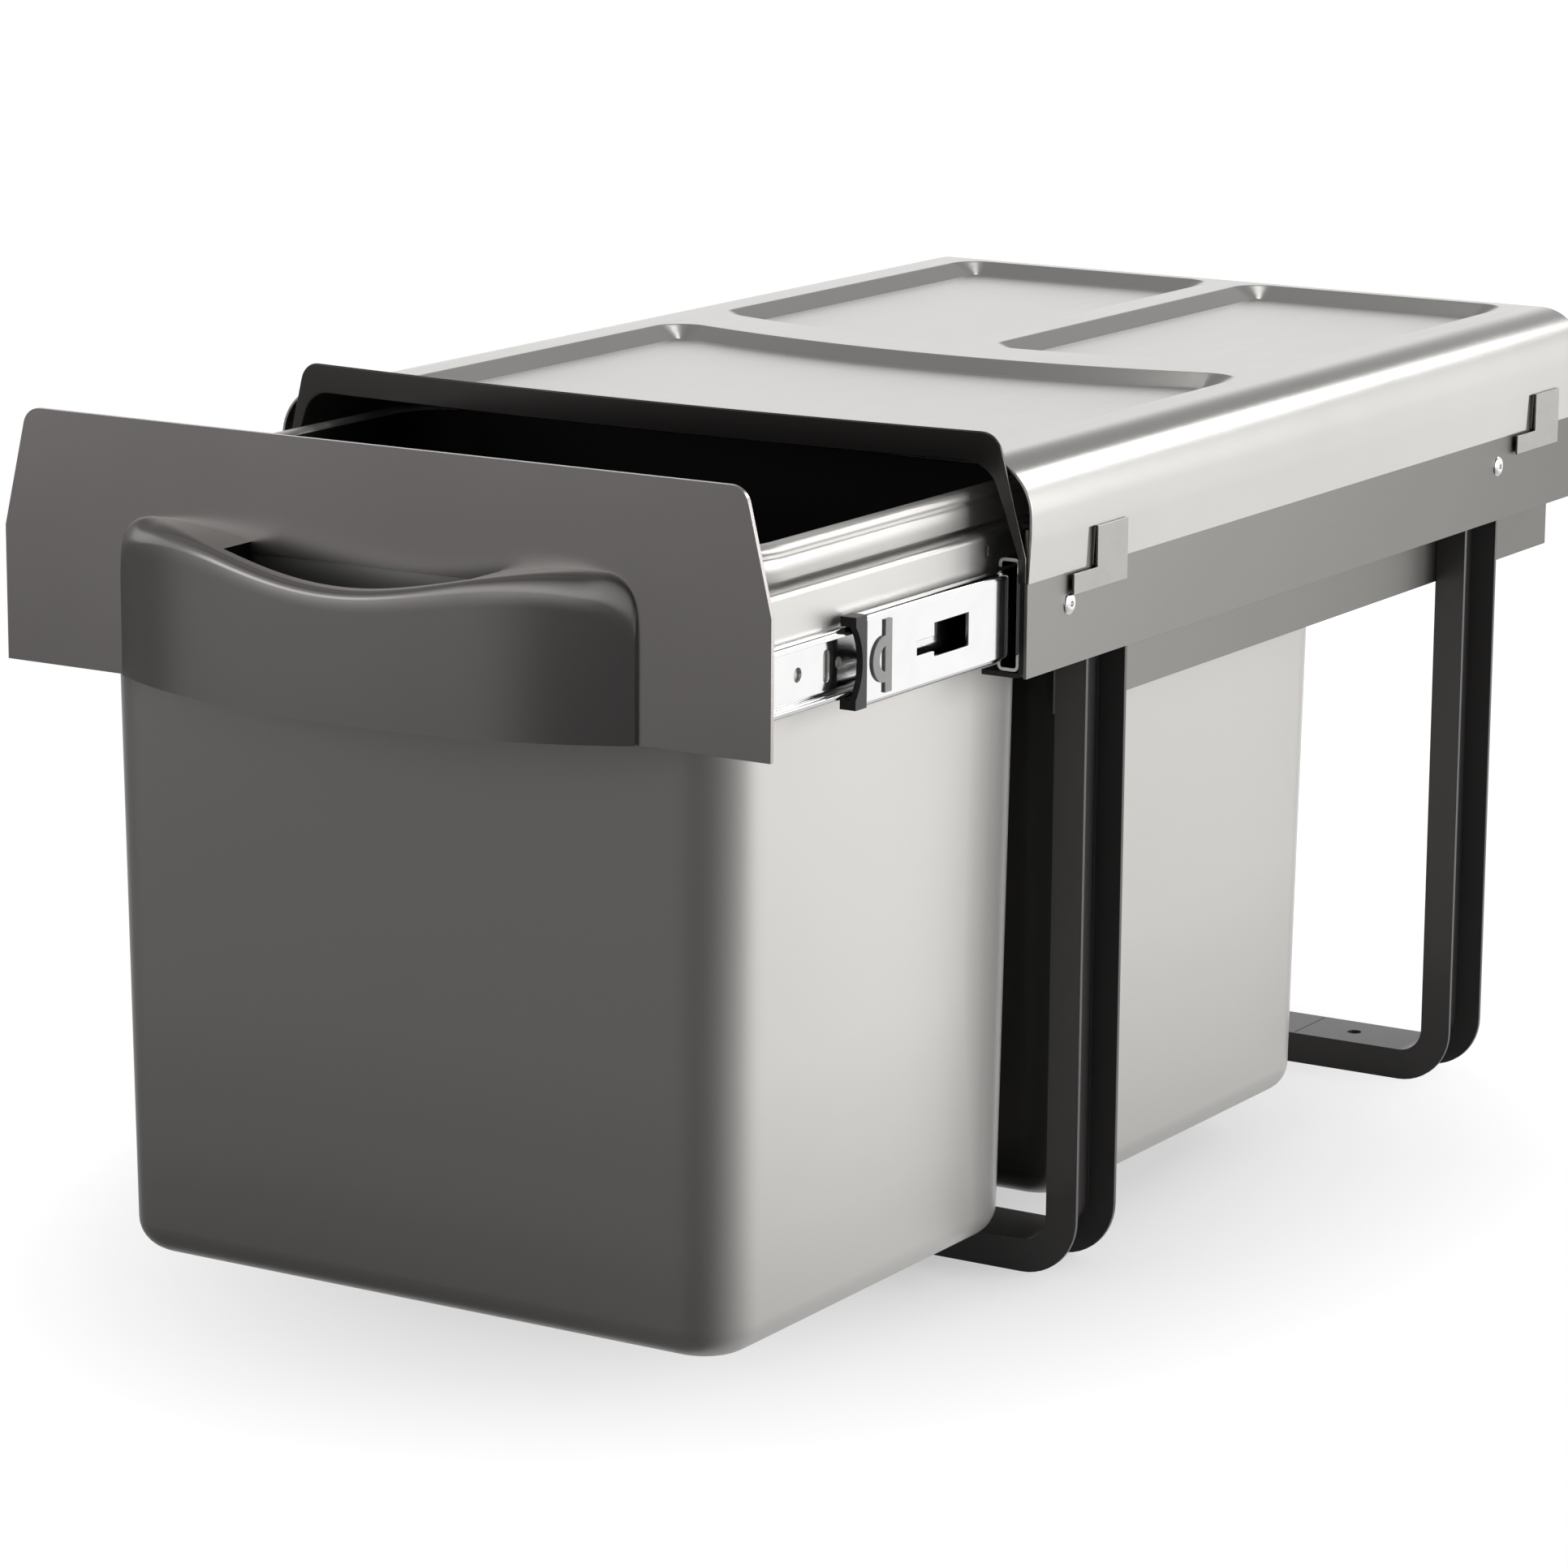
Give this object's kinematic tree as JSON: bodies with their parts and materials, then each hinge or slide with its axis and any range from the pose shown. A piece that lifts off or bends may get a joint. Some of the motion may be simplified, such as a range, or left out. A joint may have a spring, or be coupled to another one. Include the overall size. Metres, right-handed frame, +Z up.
{
  "type": "pull-out waste cabinet unit",
  "caption": "Under-counter pull-out waste unit: hoop frame with pressed tray cover, ball-bearing slides and a bin drawer with bowed grip plate.",
  "frame": {"origin": "centre of the bounding box on the floor plane, drawer in the pose of the picture", "axes": "+Z up, +Y towards the rear of the cabinet (the drawer comes out towards -Y), +X to the right seen from the front"},
  "size_m": [0.362, 0.743, 0.361],
  "materials": {
    "silver_sheet": "satin silver coated steel sheet",
    "dark_coat": "fine matt anthracite powder coat",
    "plate_coat": "satin dark grey powder coat",
    "black_steel": "semi-gloss black",
    "zinc_steel": "bright zinc plated",
    "grip_plastic": "satin dark grey moulding",
    "bin_plastic": "satin silver grey moulding",
    "black_plastic": "black moulding",
    "grey_plastic": "light grey moulding"
  },
  "bodies": {
    "fixed_frame": {"cover": "silver_sheet", "cover_trim": "plate_coat", "side_panel_right": "silver_sheet", "side_panel_left": "silver_sheet", "frame_rail_right": "black_steel", "frame_rail_left": "black_steel", "hoop_front": "dark_coat", "hoop_rear": "dark_coat", "strip_right": "silver_sheet", "strip_left": "silver_sheet", "rivets": "zinc_steel", "clips_right": "silver_sheet", "clips_left": "silver_sheet", "back_tie": "black_steel", "slide_outer_right": "zinc_steel", "slide_outer_left": "zinc_steel"},
    "slide_middles": {"slide_middle_right": "zinc_steel", "slide_middle_left": "zinc_steel", "slide_bumpers": "black_plastic", "slide_stops": "grey_plastic"},
    "cages_outer": {"ball_cages_outer": "zinc_steel"},
    "cages_inner": {"ball_cages_inner": "zinc_steel"},
    "drawer": {"slide_inner_right": "zinc_steel", "slide_inner_left": "zinc_steel", "drawer_rail_right": "silver_sheet", "drawer_rail_left": "silver_sheet", "cross_rail_front": "silver_sheet", "cross_rail_middle": "silver_sheet", "cross_rail_rear": "silver_sheet", "front_plate": "plate_coat", "grip": "grip_plastic", "grip_screws": "zinc_steel", "plate_fasteners": "zinc_steel", "front_bin": "bin_plastic", "rear_bin_left": "bin_plastic", "rear_bin_right": "bin_plastic"}
  },
  "joints": [
    {"name": "drawer_slide", "type": "slide", "parent": "fixed_frame", "child": "drawer", "axis": [0, -1, 0], "range_m": [-0.1715, 0.3165]},
    {"name": "slide_middle_travel", "type": "slide", "parent": "fixed_frame", "child": "slide_middles", "axis": [0, -1, 0], "range_m": [-0.1098, 0.2026]},
    {"name": "cage_outer_travel", "type": "slide", "parent": "fixed_frame", "child": "cages_outer", "axis": [0, -1, 0], "range_m": [-0.0549, 0.1013]},
    {"name": "cage_inner_travel", "type": "slide", "parent": "fixed_frame", "child": "cages_inner", "axis": [0, -1, 0], "range_m": [-0.1407, 0.2596]}
  ],
  "couplings": [
    {"joint": "slide_middle_travel", "follows": "drawer_slide", "ratio": 0.64},
    {"joint": "cage_outer_travel", "follows": "drawer_slide", "ratio": 0.32},
    {"joint": "cage_inner_travel", "follows": "drawer_slide", "ratio": 0.82}
  ]
}
